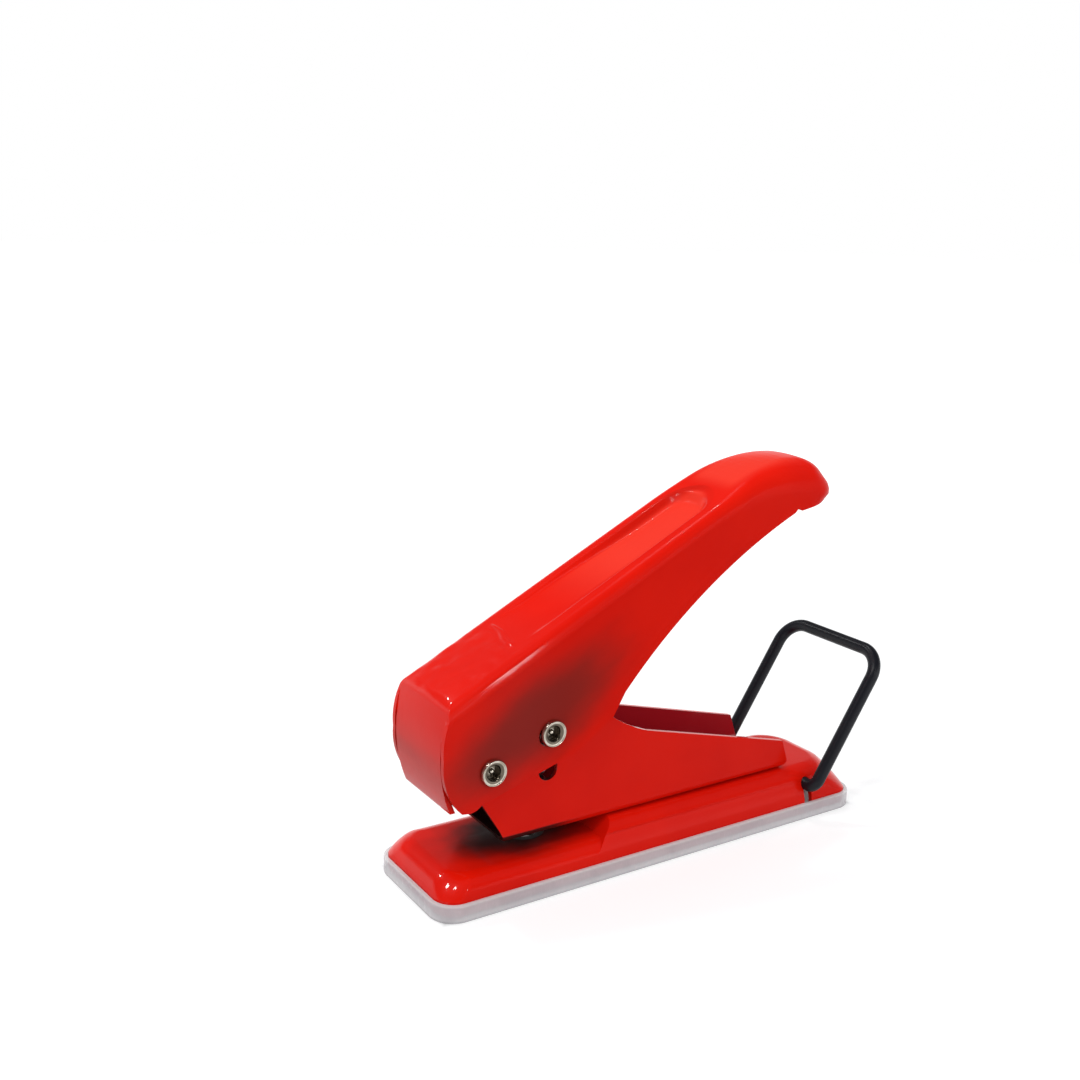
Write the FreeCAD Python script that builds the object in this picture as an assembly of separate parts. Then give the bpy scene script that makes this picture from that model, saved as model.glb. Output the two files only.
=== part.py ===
import FreeCAD, Part
import math
import os

# Desk punch for one hole: a pressed base, a channel frame, a hand lever, a round punch and a wire lock.
# Millimetres. X runs from the nose (-) to the handle (+), Y across, Z up; z = 0 is the resting face.

V = FreeCAD.Vector

# Chip tray that closes the base from below
tray_length = 105.0
tray_width = 28.0
tray_corner = 5.2
tray_wall = 0.8
tray_floor = 1.0
tray_height = 3.5
tray_edge = 0.35
tray_gap = 0.1

# Base, one pressing of sheet
sheet = 1.0
shoulder_height = 3.8
side_slope_deg = 67.0
end_slope_deg = 57.0
front_deck_height = 7.5
rear_deck_height = 10.4
deck_corner = 8.5
deck_round = 3.8
stop_distance = 12.0
stop_slope_deg = 45.0

# Frame, a channel of sheet riveted on the rear deck
frame_width = 18.0
frame_bend = 2.2
web_front = -36.0
web_rear = 34.3
frame_throat = ((-37.7, 13.6), (-41.6, 19.9))
pivot_ear = 4.4
ear_drop = 1.2
ear_run = 1.0
frame_crown = 36.2
crown_before_driver = 5.0
crown_behind_driver = 5.5
frame_back = ((-12.3, 31.5), (-8.6, 29.2), (-3.5, 26.95))
frame_tail = ((33.4, 17.2), (35.2, 12.2))

# Lever, a channel of sheet that straddles the frame
lever_gap = 0.2
lever_bend = 2.6
nose_bend = 3.3
flap_bottom = 19.5
flap_slit = 0.35
handle_corner = 8.0
nose_heel = (-46.4, 19.6)
nose_belly = ((-49.7, 25.0), (-50.3, 30.5))
nose_brow = ((-50.2, 34.6), (-49.3, 38.0))
flap_front = ((-48.0, 19.0), (-50.3, 30.0), (-49.3, 38.0))
flap_slit_top = 34.0
handle_hem = 70.2
underside_notch = ((32.9, 68.4), (31.8, 68.9), (31.0, 68.1))
underside = ((7.8, 54.2), (-10.5, 36.8))
lower_edge = ((-13.2, 32.1), (-20.0, 27.78), ((-22.27, 26.56), (-24.69, 25.66)), (-42.3, 20.5))
heel_round = ((-43.4, 19.7), (-44.8, 19.4))
panel_depth = 0.9
panel_margin = 3.7
panel_front = -31.5
panel_rear = 14.0
panel_front_corner = 1.8
panel_rear_corner = 5.6
panel_rim_round = 0.5
panel_foot_round = 0.6
roof_deg = 27.0
crest_x = 32.95
crest_z = 77.9
crest_radius = 34.0
tip_radius = 9.0
tip_start_deg = 4.0
tip_end_deg = 76.0
nose_corner_x = -48.75

# Mechanism
punch_diameter = 6.0
cut_clearance = 0.05
travel = 8.0
pivot_x = -40.1
pivot_z = 26.6
driver_x = -27.2
driver_z = 31.7
rivet_diameter = 3.8
rivet_flange = 5.3
rivet_flange_depth = 0.85
rivet_rim = 0.4
rivet_rim_round = 0.15
rivet_mouth = 4.2
rivet_mouth_depth = 0.2
rivet_flare_depth = 0.95
rivet_flare_round = 0.2
rivet_well = 2.8
rivet_well_depth = 1.6
rivet_nub = 1.1
rivet_nub_height = 0.6
rivet_head = 6.2
rivet_head_height = 1.3
rivet_head_edge = 0.3
running = 0.05
tight = 0.02
slot_clearance = 0.2
side_play = 0.08
punch_head_diameter = 8.0
punch_head_above = 3.6
punch_head_below = 3.2
punch_head_chamfer = 0.6
punch_hollow_radius = 6.0
punch_hollow_depth = 0.8
punch_recess = 0.5
guide_length = 3.0
guide_spigot = 8.0
guide_flange = 10.0
die_spigot = 9.0
die_flange = 12.0
die_flange_depth = 2.0
die_land = 2.0
die_relief = 0.5
washer_diameter = 10.0
washer_thickness = 0.7
spring_wire = 0.8
spring_diameter = 8.7
spring_turns = 5.5
spring_closing = 0.45
spring_end_gap = 0.05

# Rivets that hold the frame on the deck
deck_rivet_diameter = 3.0
deck_rivet_head = 6.0
deck_rivet_head_depth = 1.0
deck_rivet_head_round = 0.6
deck_rivet_tail = 5.0
deck_rivet_tail_depth = 0.8
deck_rivet_places = (4.0, 25.0)

# Wire lock that folds over the closed lever
wire = 2.75
bail_from_end = 13.2
bail_z = 7.2
bail_span = 29.0
bail_reach = 32.6
bail_corner = 5.6
bail_foot_bend = 2.0
bail_foot_inside = 2.2
bail_lean_deg = 57.2
bail_mouth = 2.1

# Sizes that follow from those above
base_length = tray_length - 2 * (tray_wall + tray_gap)
base_width = tray_width - 2 * (tray_wall + tray_gap)
base_corner = tray_corner - tray_wall - tray_gap
base_foot = tray_floor + tray_gap
bail_x = base_length / 2 - bail_from_end
side_slope = math.radians(side_slope_deg)
end_slope = math.radians(end_slope_deg)
lever_inner = frame_width + 2 * lever_gap
lever_width = lever_inner + 2 * sheet
punch_x = driver_x
stop_foot = punch_x + stop_distance
stop_run = (rear_deck_height - front_deck_height) / math.tan(math.radians(stop_slope_deg))
web_top = rear_deck_height + sheet
guide_top = rear_deck_height + guide_length
shoulder = driver_z - punch_head_below
washer_bottom = shoulder - washer_thickness
arm = driver_x - pivot_x
slot_radius = rivet_diameter / 2 + slot_clearance
crest_centre = (crest_x, crest_z - crest_radius)
tip_shift = crest_radius - tip_radius
tip_centre = (crest_centre[0] + tip_shift * math.sin(math.radians(tip_start_deg)),
              crest_centre[1] + tip_shift * math.cos(math.radians(tip_start_deg)))
handle_reach = tip_centre[0] + tip_radius * math.sin(math.radians(tip_end_deg))

# Sizes of cutting bodies and searches that only have to be large enough
ample = 80.0
corner_reach = 0.5


def path(start, *steps):
    """Edges in the XZ plane; a step is a point for a line, or (middle, end) for an arc."""
    edges = []
    here = V(start[0], 0, start[1])
    for step in steps:
        if isinstance(step[0], tuple):
            middle = V(step[0][0], 0, step[0][1])
            end = V(step[1][0], 0, step[1][1])
            edges.append(Part.Arc(here, middle, end).toShape())
        else:
            end = V(step[0], 0, step[1])
            edges.append(Part.LineSegment(here, end).toShape())
        here = end
    return edges


def across(wire_xz, width):
    """Extrude a closed XZ outline to both sides of the middle plane."""
    face = Part.Face(wire_xz)
    face.translate(V(0, -width / 2, 0))
    return face.extrude(V(0, width, 0))


def prism(width, start, *steps):
    return across(Part.Wire(path(start, *steps, start)), width)


def rounded_plate(x0, x1, width, corner, z, height):
    """Upright solid over a rectangle with rounded corners."""
    plate = Part.makeBox(x1 - x0, width, height, V(x0, -width / 2, z))
    posts = [e for e in plate.Edges if abs(e.tangentAt(e.FirstParameter).z) > 0.9]
    return plate.makeFillet(corner, posts)


def cross_rod(diameter, x, z, width):
    """Cylinder along Y, centred on the middle plane."""
    return Part.makeCylinder(diameter / 2, width, V(x, -width / 2, z), V(0, 1, 0))


def post(diameter, x, z0, z1):
    return Part.makeCylinder(diameter / 2, z1 - z0, V(x, 0, z0))


def obround(radius, x0, z0, x1, z1, width):
    """Slot-shaped bar along Y whose round ends sit at two XZ points."""
    ends = cross_rod(2 * radius, x0, z0, width).fuse(cross_rod(2 * radius, x1, z1, width))
    length = math.hypot(x1 - x0, z1 - z0)
    nx = -(z1 - z0) / length * radius
    nz = (x1 - x0) / length * radius
    body = prism(width, (x0 + nx, z0 + nz), (x1 + nx, z1 + nz), (x1 - nx, z1 - nz), (x0 - nx, z0 - nz))
    return ends.fuse(body).removeSplitter()


# Base

def rim_outline(x0, x1, half_width, corner, z):
    plate = rounded_plate(x0, x1, 2 * half_width, corner, z, 1.0)
    return min(plate.Faces, key=lambda f: f.CenterOfMass.z).OuterWire


def tapered_block(inward, floor, roof):
    """Upright skirt, then sloping sides up to a flat roof; inward is how deep in the sheet it lies."""
    knee = shoulder_height - inward * (1 - math.sin(side_slope)) / math.cos(side_slope)
    half_length = base_length / 2 - inward
    half_width = base_width / 2 - inward
    corner = base_corner - inward
    lean = (roof - knee) / math.tan(side_slope)
    end_lean = (roof - knee) / math.tan(end_slope)
    skirt = rounded_plate(-half_length, half_length, 2 * half_width, corner, floor, knee - floor)
    low = rim_outline(-half_length, half_length, half_width, corner, knee)
    high = rim_outline(-half_length + end_lean, half_length - end_lean, half_width - lean,
                       deck_corner - inward, roof)
    return skirt.fuse(Part.makeLoft([low, high], True, True)).removeSplitter()


def deck_form(inward, floor):
    """Tapered block with its low front deck, the paper stop and rounded upper edges."""
    roof = rear_deck_height - inward
    low = front_deck_height - inward
    foot = stop_foot + inward * math.tan(math.radians(stop_slope_deg / 2))
    head = foot + stop_run
    block = tapered_block(inward, floor, roof)
    notch = prism(ample, (-base_length, low), (foot, low), (head, roof), (head, ample), (-base_length, ample))
    block = block.cut(notch).removeSplitter()
    deck_edges = []
    for edge in block.Edges:
        box = edge.BoundBox
        level = box.ZLength < 0.01 and box.ZMin > low - 0.01
        over_stop = foot - 0.1 < box.Center.x < head + 0.1
        if level and not over_stop:
            deck_edges.append(edge)
    return block.makeFillet(deck_round - inward, deck_edges)


def base_shell():
    shell = deck_form(0.0, base_foot).cut(deck_form(sheet, base_foot - sheet))
    shell = shell.cut(post(die_spigot, punch_x, base_foot, rear_deck_height))
    for x in deck_rivet_places:
        shell = shell.cut(post(deck_rivet_diameter + 2 * tight, x, base_foot, web_top))
    shell = shell.cut(cross_rod(wire + 2 * running, bail_x, bail_z, tray_width))
    mouth = Part.makeBox(bail_mouth, tray_width, bail_z - base_foot,
                         V(bail_x - bail_mouth / 2, -tray_width / 2, base_foot))
    return shell.cut(mouth)


def die_bush():
    """Hardened ring pressed into the deck from below, flush with the paper table."""
    under = front_deck_height - sheet
    bottom = under - die_flange_depth
    ring = post(die_spigot - 2 * tight, punch_x, bottom, front_deck_height)
    ring = ring.fuse(post(die_flange, punch_x, bottom, under - tight))
    bore = punch_diameter + 2 * cut_clearance
    ring = ring.cut(post(bore, punch_x, bottom, front_deck_height))
    relief = post(bore + 2 * die_relief, punch_x, bottom, front_deck_height - die_land)
    return ring.cut(relief).removeSplitter()


def chip_tray():
    half = tray_length / 2
    body = rounded_plate(-half, half, tray_width, tray_corner, 0.0, tray_height)
    room = rounded_plate(-half + tray_wall, half - tray_wall, tray_width - 2 * tray_wall,
                         tray_corner - tray_wall, tray_floor, tray_height)
    level = [e for e in body.Edges if e.BoundBox.ZLength < 0.01]
    return body.makeFillet(tray_edge, level).cut(room)


# Frame

def frame_outline():
    """Side of the frame: open jaw in front, an ear round the pivot, a crown over the driver's slot."""
    ear = pivot_ear * math.sqrt(0.5)
    front = (web_front, rear_deck_height)
    return Part.Wire(path(
        front, *frame_throat, (pivot_x - pivot_ear, pivot_z - ear_drop),
        ((pivot_x - ear, pivot_z + ear), (pivot_x + ear_run, pivot_z + pivot_ear)),
        (driver_x - crown_before_driver, frame_crown), (driver_x + crown_behind_driver, frame_crown),
        frame_back[0], frame_back[1:], *frame_tail, (web_rear, rear_deck_height), front))


def channel_block(width, bottom, bend):
    """Long bar whose two lower edges are rounded as sheet is bent."""
    bar = Part.makeBox(2 * ample, width, ample, V(-ample, -width / 2, bottom))
    low_edges = [e for e in bar.Edges if e.BoundBox.ZMax < bottom + 0.01 and e.BoundBox.XLength > 1]
    return bar.makeFillet(bend, low_edges)


def frame():
    outer = channel_block(frame_width, rear_deck_height, frame_bend)
    inner = channel_block(frame_width - 2 * sheet, web_top, frame_bend - sheet)
    channel = outer.cut(inner).common(across(frame_outline(), tray_width))
    channel = channel.cut(cross_rod(rivet_diameter + 2 * tight, pivot_x, pivot_z, tray_width))
    channel = channel.cut(obround(slot_radius, driver_x, driver_z, driver_x, driver_z - travel, tray_width))
    channel = channel.cut(post(guide_spigot, punch_x, rear_deck_height, web_top))
    for x in deck_rivet_places:
        channel = channel.cut(post(deck_rivet_diameter + 2 * tight, x, base_foot, web_top))
    return channel.removeSplitter()


def guide_bush():
    """Shouldered bush in the web that keeps the punch upright and carries the spring."""
    bush = post(guide_spigot - 2 * tight, punch_x, rear_deck_height, guide_top)
    bush = bush.fuse(post(guide_flange, punch_x, web_top + tight, guide_top))
    bore = post(punch_diameter + 2 * cut_clearance, punch_x, rear_deck_height, guide_top)
    return bush.cut(bore).removeSplitter()


def deck_rivets():
    """Solid rivets from the channel's floor to the underside of the deck."""
    under = rear_deck_height - sheet
    rivets = []
    for x in deck_rivet_places:
        rivet = post(deck_rivet_diameter, x, under - deck_rivet_tail_depth, web_top + tight)
        head = post(deck_rivet_head, x, web_top + tight, web_top + deck_rivet_head_depth)
        rim = [e for e in head.Edges if e.BoundBox.ZMin > web_top + deck_rivet_head_depth - 0.01]
        head = head.makeFillet(deck_rivet_head_round, rim)
        tail = post(deck_rivet_tail, x, under - deck_rivet_tail_depth, under - tight)
        rivets.append(rivet.fuse([head, tail]).removeSplitter())
    return Part.makeCompound(rivets)


def cap_middle(half, level, rise):
    """Middle point of a round cap's arc, from its rim at a level to its crown on the axis."""
    radius = (half ** 2 + rise ** 2) / (2 * abs(rise))
    centre = level + rise - math.copysign(radius, rise)
    angle = math.atan2(half, abs(level - centre) if (level - centre) * rise > 0 else -abs(level - centre)) / 2
    return (radius * math.sin(angle), centre + math.copysign(radius * math.cos(angle), rise))


def cross_rivet(x, z):
    """Semi-tubular rivet across the lever: oval head on the far side, rolled rim round a well on the near."""
    wall = lever_width / 2 + side_play
    crest = wall + rivet_flange_depth
    shank = rivet_diameter / 2
    rim = rivet_flange / 2
    mouth = rivet_mouth / 2
    well = rivet_well / 2
    nub = rivet_nub / 2
    head = rivet_head / 2
    bottom = crest - rivet_well_depth
    lip = crest - rivet_mouth_depth
    neck = crest - rivet_flare_depth
    half_flare = ((well + mouth) / 2 - rivet_flare_round, (neck + lip) / 2 + rivet_flare_round)
    rim_foot = (rim - rivet_rim / 2 - rivet_rim_round, crest - rivet_rim_round)
    head_edge = -wall - rivet_head_edge
    dome = rivet_head_edge - rivet_head_height
    nub_top = (0, bottom + rivet_nub_height)
    head_top = (0, head_edge + dome)
    profile = path(
        head_top, nub_top, (cap_middle(nub, bottom, rivet_nub_height), (nub, bottom)),
        (well, bottom), (well, neck), (half_flare, (mouth, lip)), rim_foot,
        ((rim - rivet_rim / 2, crest), (rim - rivet_rim_round, crest - rivet_rim_round)),
        (rim, crest - rivet_rim), (rim, wall), (shank, wall), (shank, -wall), (head, -wall),
        (head, head_edge), (cap_middle(head, head_edge, dome), head_top))
    rivet = Part.Face(Part.Wire(profile)).revolve(V(0, 0, 0), V(0, 0, 1), 360)
    rivet.rotate(V(0, 0, 0), V(1, 0, 0), 90)
    rivet.translate(V(x, 0, z))
    return rivet


# Lever

def on_circle(centre, radius, degrees):
    """Point on a circle in the XZ plane, counted from its top towards the handle's end."""
    angle = math.radians(degrees)
    return (centre[0] + radius * math.sin(angle), centre[1] + radius * math.cos(angle))


def roof_z(x):
    """Height of the straight part of the roof."""
    start = on_circle(crest_centre, crest_radius, -roof_deg)
    return start[1] + (x - start[0]) * math.tan(math.radians(roof_deg))


def roof_line(front):
    """Roof of the lever from a front point over the crest to the handle's end."""
    crest_mid = (tip_start_deg - roof_deg) / 2
    tip_mid = (tip_start_deg + tip_end_deg) / 2
    crest = [on_circle(crest_centre, crest_radius, deg) for deg in (-roof_deg, crest_mid, tip_start_deg)]
    tip = [on_circle(tip_centre, tip_radius, deg) for deg in (tip_mid, tip_end_deg)]
    return [(front, roof_z(front)), crest[0], tuple(crest[1:]), tuple(tip)]


def lever_outline():
    """Side of the lever: nose, roof line, handle end, curved lower edge and the notch over the frame."""
    return Part.Wire(path(
        nose_heel, nose_belly, nose_brow, *roof_line(nose_corner_x), (handle_reach, handle_hem),
        *underside_notch, underside, *lower_edge, heel_round, nose_heel))


def lever_body(inward):
    """Closed form whose roof, sides and handle end lie a given depth inside the lever's skin."""
    outline = Part.Wire(path((-ample, -ample), *roof_line(-ample), (handle_reach, -ample), (-ample, -ample)))
    if inward > 0:
        outline = outline.makeOffset2D(-inward, 0, False, False, True)
    width = lever_width - 2 * inward
    block = across(outline, width)
    end = handle_reach - inward
    block = block.common(rounded_plate(-2 * ample, end, width, handle_corner - inward, -2 * ample, 4 * ample))
    lowest = roof_z(-ample) - inward - sheet
    upper = []
    for edge in block.Edges:
        box = edge.BoundBox
        if box.ZMin > lowest and box.XLength > 0.5 and box.YLength < handle_corner + 0.1:
            upper.append(edge)
    return block.makeFillet(max(lever_bend - inward, 0.3), upper)


def nose_rounded(solid, radius, depth):
    """Round the bend between the roof and the flap, whose edge lies a given depth inside the corner."""
    bend = []
    for edge in solid.Edges:
        box = edge.BoundBox
        crosswise = box.XLength < 0.01 and box.ZLength < 0.01
        near_corner = abs(box.Center.x - nose_corner_x) < 2 * depth + corner_reach
        if crosswise and near_corner and box.ZMin > nose_brow[1][1]:
            bend.append(edge)
    return solid.makeFillet(radius, bend)


def front_flap():
    """Tongue bent down from the roof between the side walls."""
    corner = (nose_corner_x, roof_z(nose_corner_x))
    foot = flap_front[0]
    rear = web_front
    below = ((rear, 0.0), (foot[0], 0.0), foot)
    outline = Part.Wire(path(foot, flap_front[1:], corner, (rear, roof_z(rear)), *below))
    outer = nose_rounded(across(outline, lever_inner), nose_bend, 0.0)
    inside = outline.makeOffset2D(-sheet, 0, False, False, True)
    inner = nose_rounded(across(inside, 2 * lever_inner), nose_bend - sheet, sheet)
    depth = 2 * nose_bend
    front = nose_corner_x - nose_bend
    keep = Part.makeBox(depth, tray_width, ample, V(front, -tray_width / 2, flap_bottom))
    flap = outer.cut(inner).common(keep)
    for low_side in (-lever_inner / 2, lever_inner / 2 - flap_slit):
        slit = Part.makeBox(depth, flap_slit, flap_slit_top, V(front, low_side, 0))
        flap = flap.cut(slit)
    return flap


def panel_block(grow, bottom, top):
    """Plate in the plane of the roof with sharper corners in front; grow widens it all round."""
    lift = math.radians(roof_deg)
    front = panel_front / math.cos(lift) - grow
    rear = panel_rear / math.cos(lift) + grow
    width = lever_width - 2 * panel_margin + 2 * grow
    block = Part.makeBox(rear - front, width, top - bottom, V(front, -width / 2, bottom))
    posts = [e for e in block.Edges if e.BoundBox.ZLength > 0.1 and e.BoundBox.XMax < front + 0.01]
    block = block.makeFillet(panel_front_corner + grow, posts)
    posts = [e for e in block.Edges if e.BoundBox.ZLength > 0.1 and e.BoundBox.XMin > rear - 0.01]
    block = block.makeFillet(panel_rear_corner + grow, posts)
    foot = [e for e in block.Edges if e.BoundBox.ZMax < bottom + 0.01]
    block = block.makeFillet(panel_foot_round + grow / 2, foot)
    block.rotate(V(0, 0, 0), V(0, 1, 0), -roof_deg)
    block.translate(V(0, 0, roof_z(0.0)))
    return block


def on_roof(edge):
    """Whether an edge lies in the flat part of the roof, inside the sunk panel's outline."""
    box = edge.BoundBox
    level = all(abs(v.Point.z - roof_z(v.Point.x)) < 0.01 for v in edge.Vertexes)
    half = lever_width / 2 - panel_margin + 0.01
    along = box.XMin > panel_front - 0.01 and box.XMax < panel_rear + 0.01
    return level and along and abs(box.YMax) < half and abs(box.YMin) < half


def lever():
    body = lever_body(0.0)
    skin = body.cut(lever_body(sheet))
    sides = nose_rounded(across(lever_outline(), tray_width), nose_bend, 0.0)
    blank = skin.common(sides)
    blank = blank.fuse(front_flap().common(body))
    blank = blank.fuse(panel_block(sheet, -sheet - panel_depth, -sheet / 2))
    blank = blank.cut(panel_block(0.0, -panel_depth, sheet)).removeSplitter()
    blank = blank.makeFillet(panel_rim_round, [e for e in blank.Edges if on_roof(e)])
    blank = blank.cut(cross_rod(rivet_diameter + 2 * running, pivot_x, pivot_z, tray_width))
    lift = math.atan2(driver_z - pivot_z, arm)
    slot = obround(slot_radius, pivot_x + arm * math.cos(lift), pivot_z + arm * math.sin(lift),
                   driver_x, driver_z, tray_width)
    return blank.cut(slot)


# Punch and spring

def punch_pin():
    """Headed punch with a crosswise hole for the driver and a hollow-ground cutting end."""
    tip = rear_deck_height + punch_recess
    top = driver_z + punch_head_above
    pin = post(punch_diameter, punch_x, tip, shoulder)
    head = post(punch_head_diameter, punch_x, shoulder, top)
    rim = [e for e in head.Edges if e.BoundBox.ZMin > top - 0.01]
    pin = pin.fuse(head.makeChamfer(punch_head_chamfer, rim)).removeSplitter()
    pin = pin.cut(cross_rod(rivet_diameter + 2 * tight, driver_x, driver_z, tray_width))
    hollow_z = tip + punch_hollow_depth - punch_hollow_radius
    return pin.cut(cross_rod(2 * punch_hollow_radius, punch_x, hollow_z, tray_width))


def spring_washer():
    ring = post(washer_diameter, punch_x, washer_bottom, shoulder)
    return ring.cut(post(punch_diameter + 2 * running, punch_x, washer_bottom, shoulder))


def biarc(start, start_way, end, end_way):
    """Two arcs that join two points with given directions smoothly."""
    chord = end - start
    ways = start_way + end_way
    bend = 2 * (start_way.dot(end_way) - 1)
    along = chord.dot(ways)
    reach = (along - math.sqrt(along ** 2 - bend * chord.dot(chord))) / bend
    knot = (start + start_way * reach + end - end_way * reach) * 0.5
    arcs = []
    for a, corner, b in ((start, start + start_way * reach, knot), (knot, end - end_way * reach, end)):
        half = (corner - a).getAngle(b - corner) / 2
        middle = (a + b) * 0.5
        bulge = math.cos(half) / (1 + math.cos(half))
        arcs.append(Part.Arc(a, middle + (corner - middle) * bulge, b).toShape())
    return arcs


def spring_point(turn):
    """Centre of the spring's wire and its direction after so many turns; the end turns lie closer."""
    height = washer_bottom - guide_top - spring_wire - 2 * spring_end_gap
    share = turn / spring_turns
    angle = 2 * math.pi * turn
    rise = height * (share - spring_closing * math.sin(2 * math.pi * share) / (2 * math.pi))
    slope_up = height / spring_turns * (1 - spring_closing * math.cos(2 * math.pi * share))
    radius = spring_diameter / 2
    place = V(punch_x + radius * math.cos(angle), radius * math.sin(angle),
              guide_top + spring_wire / 2 + spring_end_gap + rise)
    way = V(-2 * math.pi * radius * math.sin(angle), 2 * math.pi * radius * math.cos(angle), slope_up)
    return place, way.normalize()


def return_spring():
    """Compression spring between the guide bush and the washer under the punch's head."""
    quarters = round(4 * spring_turns)
    arcs = []
    for index in range(quarters):
        a, a_way = spring_point(index / 4)
        b, b_way = spring_point((index + 1) / 4)
        arcs += biarc(a, a_way, b, b_way)
    first, way = spring_point(0)
    section = Part.Wire(Part.makeCircle(spring_wire / 2, first, way))
    gap = least_spring_gap()
    print("spring: least gap to itself", round(gap, 3), "mm")
    return Part.Wire(arcs).makePipeShell([section], True, False)


def least_spring_gap():
    """Smallest clear distance between neighbouring turns, measured on points of the centre line."""
    per_turn = 24
    points = [spring_point(i / per_turn)[0] for i in range(round(spring_turns * per_turn) + 1)]
    least = min((a - b).Length for i, a in enumerate(points) for b in points[i + per_turn // 2:])
    return least - spring_wire


# Wire lock

def lock_bail():
    """Wire bent to a portal, with feet that turn inwards through the base's side walls."""
    lean = math.radians(bail_lean_deg)
    along = V(math.cos(lean), 0, math.sin(lean))
    foot = V(bail_x, 0, bail_z)
    half = bail_span / 2
    inside = base_width / 2 - bail_foot_inside - sheet

    def at(y, reach):
        return foot + along * reach + V(0, y, 0)

    def rounded(y, y_side, reach, reach_side, radius):
        """Quarter bend whose corner is at (y, reach)."""
        k = radius * (1 - math.sqrt(0.5))
        return Part.Arc(at(y + y_side * radius, reach), at(y + y_side * k, reach + reach_side * k),
                        at(y, reach + reach_side * radius)).toShape()

    def straight(y0, reach0, y1, reach1):
        return Part.LineSegment(at(y0, reach0), at(y1, reach1)).toShape()

    edges = [straight(-inside, 0, -half + bail_foot_bend, 0),
             rounded(-half, 1, 0, 1, bail_foot_bend),
             straight(-half, bail_foot_bend, -half, bail_reach - bail_corner),
             rounded(-half, 1, bail_reach, -1, bail_corner),
             straight(-half + bail_corner, bail_reach, half - bail_corner, bail_reach),
             rounded(half, -1, bail_reach, -1, bail_corner),
             straight(half, bail_reach - bail_corner, half, bail_foot_bend),
             rounded(half, -1, 0, 1, bail_foot_bend),
             straight(half - bail_foot_bend, 0, inside, 0)]
    section = Part.Wire(Part.makeCircle(wire / 2, at(-inside, 0), V(0, 1, 0)))
    return Part.Wire(Part.__sortEdges__(edges)).makePipeShell([section], True, False)


def pivot_rivet():
    return cross_rivet(pivot_x, pivot_z)


def driver_rivet():
    return cross_rivet(driver_x, driver_z)


makers = (chip_tray, base_shell, die_bush, frame, guide_bush, deck_rivets, pivot_rivet, lever, driver_rivet,
          punch_pin, spring_washer, return_spring, lock_bail)
os.makedirs("parts", exist_ok=True)
for make in makers:
    shape = make()
    print(make.__name__, shape.isValid(), len(shape.Solids), round(shape.Volume, 2))
    shape.exportStep("parts/" + make.__name__ + ".step")
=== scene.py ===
import math

import bmesh
import bpy
from mathutils import Matrix, Vector, noise


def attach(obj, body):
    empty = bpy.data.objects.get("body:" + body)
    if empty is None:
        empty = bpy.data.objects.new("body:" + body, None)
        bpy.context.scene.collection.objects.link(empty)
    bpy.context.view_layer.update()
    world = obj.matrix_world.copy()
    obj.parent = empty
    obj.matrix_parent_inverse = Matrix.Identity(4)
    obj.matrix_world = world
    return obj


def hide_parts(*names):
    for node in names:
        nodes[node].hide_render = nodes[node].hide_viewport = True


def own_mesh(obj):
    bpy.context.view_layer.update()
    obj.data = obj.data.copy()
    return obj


MM = 0.001

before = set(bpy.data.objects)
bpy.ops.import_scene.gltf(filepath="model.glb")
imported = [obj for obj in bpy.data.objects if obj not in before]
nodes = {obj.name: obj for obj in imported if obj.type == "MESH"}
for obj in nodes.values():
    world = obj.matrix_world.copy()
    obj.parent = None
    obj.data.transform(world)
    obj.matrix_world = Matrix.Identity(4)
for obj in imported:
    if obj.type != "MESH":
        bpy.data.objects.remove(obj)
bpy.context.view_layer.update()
scene = bpy.context.scene

# Lever sizes in millimetres, the same as in the part's source
sheet = 1.0
lever_half = 10.2
lever_bend = 2.6
roof_deg = 27.0
crest_centre = (32.95, 43.9)
crest_radius = 34.0
tip_centre = (34.694, 68.839)
tip_radius = 9.0
tip_start_deg = 4.0
plan_centre = (35.43, 2.2)
plan_corner = 8.0
handle_reach = 43.43
panel_front = -31.5
pivot = (-40.1, 26.6)
driver = (-27.2, 31.7)

# Pressed handle: its wider bend and its crowned roof, each with the stretch over which it comes in
handle_bend = 6.4
bend_widens = (8.0, 38.0)
handle_crown = 0.85
crown_rises = (13.0, 33.0)
crown_ends_deg = (30.0, 70.0)
crown_half = 8.8
crown_skin = (1.2, 8.0)
nose_crown = 0.35
nose_crown_ends = (panel_front - 5.0, panel_front - 0.5)

# Corners of the handle's end, squarer than an arc between these heights
square_corner = 3.0
square_starts = (0.3, 2.5)
square_rises = (69.4, 71.2)
square_ends = (72.0, 75.5)

# Farthest that the handle's end may reach from the pivot and still clear the wire
swing_limit = 94.85

# Roof and wall that lean this near to each other have no bend between them to widen
parallel_limit = 0.06
nearly_zero = 1e-6

# Waves of the pressed roof in front of the sunk panel
ripple_height = 0.20
ripples_per_mm = 0.34
fine_ripple_share = 0.22
fine_ripples_per_mm = 0.9
ripple_ends = (panel_front - 3.0, panel_front - 0.8)
ripple_foot = (39.0, 41.5)
ripple_side = (7.5, 10.0)

# Sunk panel: outline, depth, the wall round it, and how far from it the roof still follows
panel_half = 6.5
panel_rear = 14.0
panel_front_corner = 1.8
panel_rear_corner = 5.6
panel_front_depth = 0.45
panel_rear_depth = 1.45
panel_sinks = (panel_front, -23.0)
panel_deepens = (-20.0, 6.0)
panel_wall = (1.1, 2.4)
panel_wall_widens = (-15.0, 8.0)
panel_zone_front = panel_front - 6.0
panel_zone_rear = panel_rear + 2.0
panel_zone_half = panel_half + 1.2
panel_zone_depth = 2.3
outer_skin = sheet - 0.05

# Crease across the roof in front of the panel, with a shallower dip ahead of it
crease_height = 0.24
crease_width = 0.50
crease_shift = 0.9
crease_slant = 2.5
crease_side = (4.0, 6.2)
crease_dip = 0.7
crease_dip_ahead = 1.9

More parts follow.
